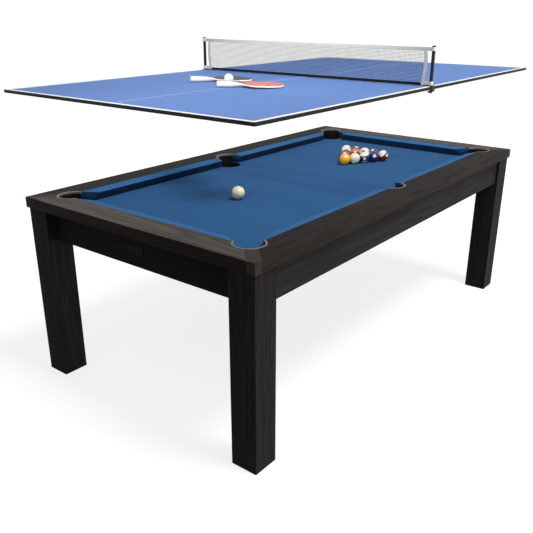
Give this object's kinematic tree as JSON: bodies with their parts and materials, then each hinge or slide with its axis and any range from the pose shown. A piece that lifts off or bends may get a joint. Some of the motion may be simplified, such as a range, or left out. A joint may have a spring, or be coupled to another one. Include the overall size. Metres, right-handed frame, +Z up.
{
  "type": "multi game table",
  "caption": "Pool table on square legs with drop pockets, balls and a raised table tennis conversion top with net, posts and bats.",
  "frame": {"origin": "on the floor under the middle of the table", "axes": "+X along the length towards the foot end, +Y to the left side, +Z up"},
  "size_m": [2.246, 1.262, 1.383],
  "materials": {
    "dark_wood": "black stained, satin, visible grain",
    "rail_wood": "black-brown stained, satin, visible grain",
    "corner_wood": "black-brown stained, satin, plain",
    "bare_wood": "unfinished board",
    "blue_cloth": "woven wool billiard cloth",
    "cushion_rubber": "firm moulded rubber",
    "grey_rim": "satin moulded",
    "black_plastic": "satin moulded",
    "zinc_steel": "zinc plated",
    "plate_metal": "dark satin",
    "playing_blue": "satin blue paint on board",
    "pad_rubber": "matte",
    "black_steel": "gloss powder coat",
    "net_cloth": "knotted nylon mesh",
    "white_tape": "woven cotton tape",
    "black_tape": "woven tape",
    "bat_wood": "clear lacquered plywood",
    "red_rubber": "pimpled sheet",
    "black_rubber": "pimpled sheet",
    "white_ball": "satin",
    "cream_ball": "polished",
    "pool_ball": "polished"
  },
  "bodies": {
    "table": {"leg_head_right": "dark_wood", "leg_head_left": "dark_wood", "leg_foot_right": "dark_wood", "leg_foot_left": "dark_wood", "leg_brackets": "zinc_steel", "apron_right": "dark_wood", "rail_right": "rail_wood", "apron_left": "dark_wood", "rail_left": "rail_wood", "apron_head": "dark_wood", "rail_head": "rail_wood", "apron_foot": "dark_wood", "rail_foot": "rail_wood", "cushion_right_head": "cushion_rubber", "cushion_right_foot": "cushion_rubber", "cushion_left_head": "cushion_rubber", "cushion_left_foot": "cushion_rubber", "cushion_head": "cushion_rubber", "cushion_foot": "cushion_rubber", "cushion_cloths": "blue_cloth", "corner_pieces": "corner_wood", "rail_bolts": "zinc_steel", "ledger_strips": "bare_wood", "cross_beams": "bare_wood", "bed_board": "bare_wood", "bed_cloth": "blue_cloth", "pocket_rims": "grey_rim", "pocket_liners": "black_plastic", "name_plate": "plate_metal", "bracket_screws": "zinc_steel", "leveller_inserts": "zinc_steel"},
    "conversion_top": {"top_board_head": "playing_blue", "top_board_foot": "playing_blue", "top_edge_bands": "black_plastic", "top_rest_pads": "pad_rubber", "top_joining_plates": "zinc_steel", "top_plate_screws": "zinc_steel", "net_posts": "black_steel", "net_mesh": "net_cloth", "net_tapes": "white_tape", "net_foot_band": "black_tape"},
    "leveller_stem_head_right": {"leveller_stem_head_right": "zinc_steel"},
    "leveller_foot_head_right": {"leveller_foot_head_right": "black_plastic"},
    "leveller_stem_head_left": {"leveller_stem_head_left": "zinc_steel"},
    "leveller_foot_head_left": {"leveller_foot_head_left": "black_plastic"},
    "leveller_stem_foot_right": {"leveller_stem_foot_right": "zinc_steel"},
    "leveller_foot_foot_right": {"leveller_foot_foot_right": "black_plastic"},
    "leveller_stem_foot_left": {"leveller_stem_foot_left": "zinc_steel"},
    "leveller_foot_foot_left": {"leveller_foot_foot_left": "black_plastic"},
    "net_clamp_pad_right": {"net_clamp_pad_right": "pad_rubber"},
    "net_clamp_screw_right": {"net_clamp_screw_right": "black_steel"},
    "net_clamp_pad_left": {"net_clamp_pad_left": "pad_rubber"},
    "net_clamp_screw_left": {"net_clamp_screw_left": "black_steel"},
    "red_bat": {"bat_red_blade": "bat_wood", "bat_red_rubbers": "red_rubber"},
    "black_bat": {"bat_black_blade": "bat_wood", "bat_black_rubbers": "black_rubber"},
    "table_tennis_ball": {"tennis_ball": "white_ball"},
    "cue_ball": {"cue_ball": "cream_ball"},
    "racked_balls": {"object_balls": "pool_ball"}
  },
  "joints": [
    {"name": "top_lift", "type": "slide", "parent": "table", "child": "conversion_top", "axis": [0, 0, 1], "range_m": [-0.3997, 0]},
    {"name": "leveller_travel_head_right", "type": "slide", "parent": "table", "child": "leveller_stem_head_right", "axis": [0, 0, -1], "range_m": [0, 0.02]},
    {"name": "leveller_turn_head_right", "type": "hinge", "parent": "leveller_stem_head_right", "child": "leveller_foot_head_right", "pos_m": [-1.041, -0.546, 0.006], "axis": [0, 0, -1], "range_deg": [0, 4800.01]},
    {"name": "leveller_travel_head_left", "type": "slide", "parent": "table", "child": "leveller_stem_head_left", "axis": [0, 0, -1], "range_m": [0, 0.02]},
    {"name": "leveller_turn_head_left", "type": "hinge", "parent": "leveller_stem_head_left", "child": "leveller_foot_head_left", "pos_m": [-1.041, 0.546, 0.006], "axis": [0, 0, -1], "range_deg": [0, 4800.01]},
    {"name": "leveller_travel_foot_right", "type": "slide", "parent": "table", "child": "leveller_stem_foot_right", "axis": [0, 0, -1], "range_m": [0, 0.02]},
    {"name": "leveller_turn_foot_right", "type": "hinge", "parent": "leveller_stem_foot_right", "child": "leveller_foot_foot_right", "pos_m": [1.041, -0.546, 0.006], "axis": [0, 0, -1], "range_deg": [0, 4800.01]},
    {"name": "leveller_travel_foot_left", "type": "slide", "parent": "table", "child": "leveller_stem_foot_left", "axis": [0, 0, -1], "range_m": [0, 0.02]},
    {"name": "leveller_turn_foot_left", "type": "hinge", "parent": "leveller_stem_foot_left", "child": "leveller_foot_foot_left", "pos_m": [1.041, 0.546, 0.006], "axis": [0, 0, -1], "range_deg": [0, 4800.01]},
    {"name": "net_clamp_right", "type": "slide", "parent": "conversion_top", "child": "net_clamp_pad_right", "axis": [0, 0, -1], "range_m": [0, 0.003]},
    {"name": "net_clamp_turn_right", "type": "hinge", "parent": "net_clamp_pad_right", "child": "net_clamp_screw_right", "pos_m": [0, -0.619, 1.208], "axis": [0, 0, -1], "range_deg": [0, 1080.01]},
    {"name": "net_clamp_left", "type": "slide", "parent": "conversion_top", "child": "net_clamp_pad_left", "axis": [0, 0, -1], "range_m": [0, 0.003]},
    {"name": "net_clamp_turn_left", "type": "hinge", "parent": "net_clamp_pad_left", "child": "net_clamp_screw_left", "pos_m": [0, 0.619, 1.208], "axis": [0, 0, -1], "range_deg": [0, 1080.01]},
    {"name": "red_bat_lift", "type": "slide", "parent": "conversion_top", "child": "red_bat", "axis": [0, 0, 1], "range_m": [0, 0.15]},
    {"name": "black_bat_lift", "type": "slide", "parent": "conversion_top", "child": "black_bat", "axis": [0, 0, 1], "range_m": [0, 0.15]},
    {"name": "table_tennis_ball_lift", "type": "slide", "parent": "conversion_top", "child": "table_tennis_ball", "axis": [0, 0, 1], "range_m": [0, 0.15]},
    {"name": "cue_ball_lift", "type": "slide", "parent": "table", "child": "cue_ball", "axis": [0, 0, 1], "range_m": [0, 0.15]},
    {"name": "racked_balls_lift", "type": "slide", "parent": "table", "child": "racked_balls", "axis": [0, 0, 1], "range_m": [0, 0.15]}
  ],
  "couplings": [
    {"joint": "leveller_turn_head_right", "follows": "leveller_travel_head_right", "rad_per_m": 4188.8},
    {"joint": "leveller_turn_head_left", "follows": "leveller_travel_head_left", "rad_per_m": 4188.8},
    {"joint": "leveller_turn_foot_right", "follows": "leveller_travel_foot_right", "rad_per_m": 4188.8},
    {"joint": "leveller_turn_foot_left", "follows": "leveller_travel_foot_left", "rad_per_m": 4188.8},
    {"joint": "net_clamp_turn_right", "follows": "net_clamp_right", "rad_per_m": 6283.2},
    {"joint": "net_clamp_turn_left", "follows": "net_clamp_left", "rad_per_m": 6283.2}
  ]
}
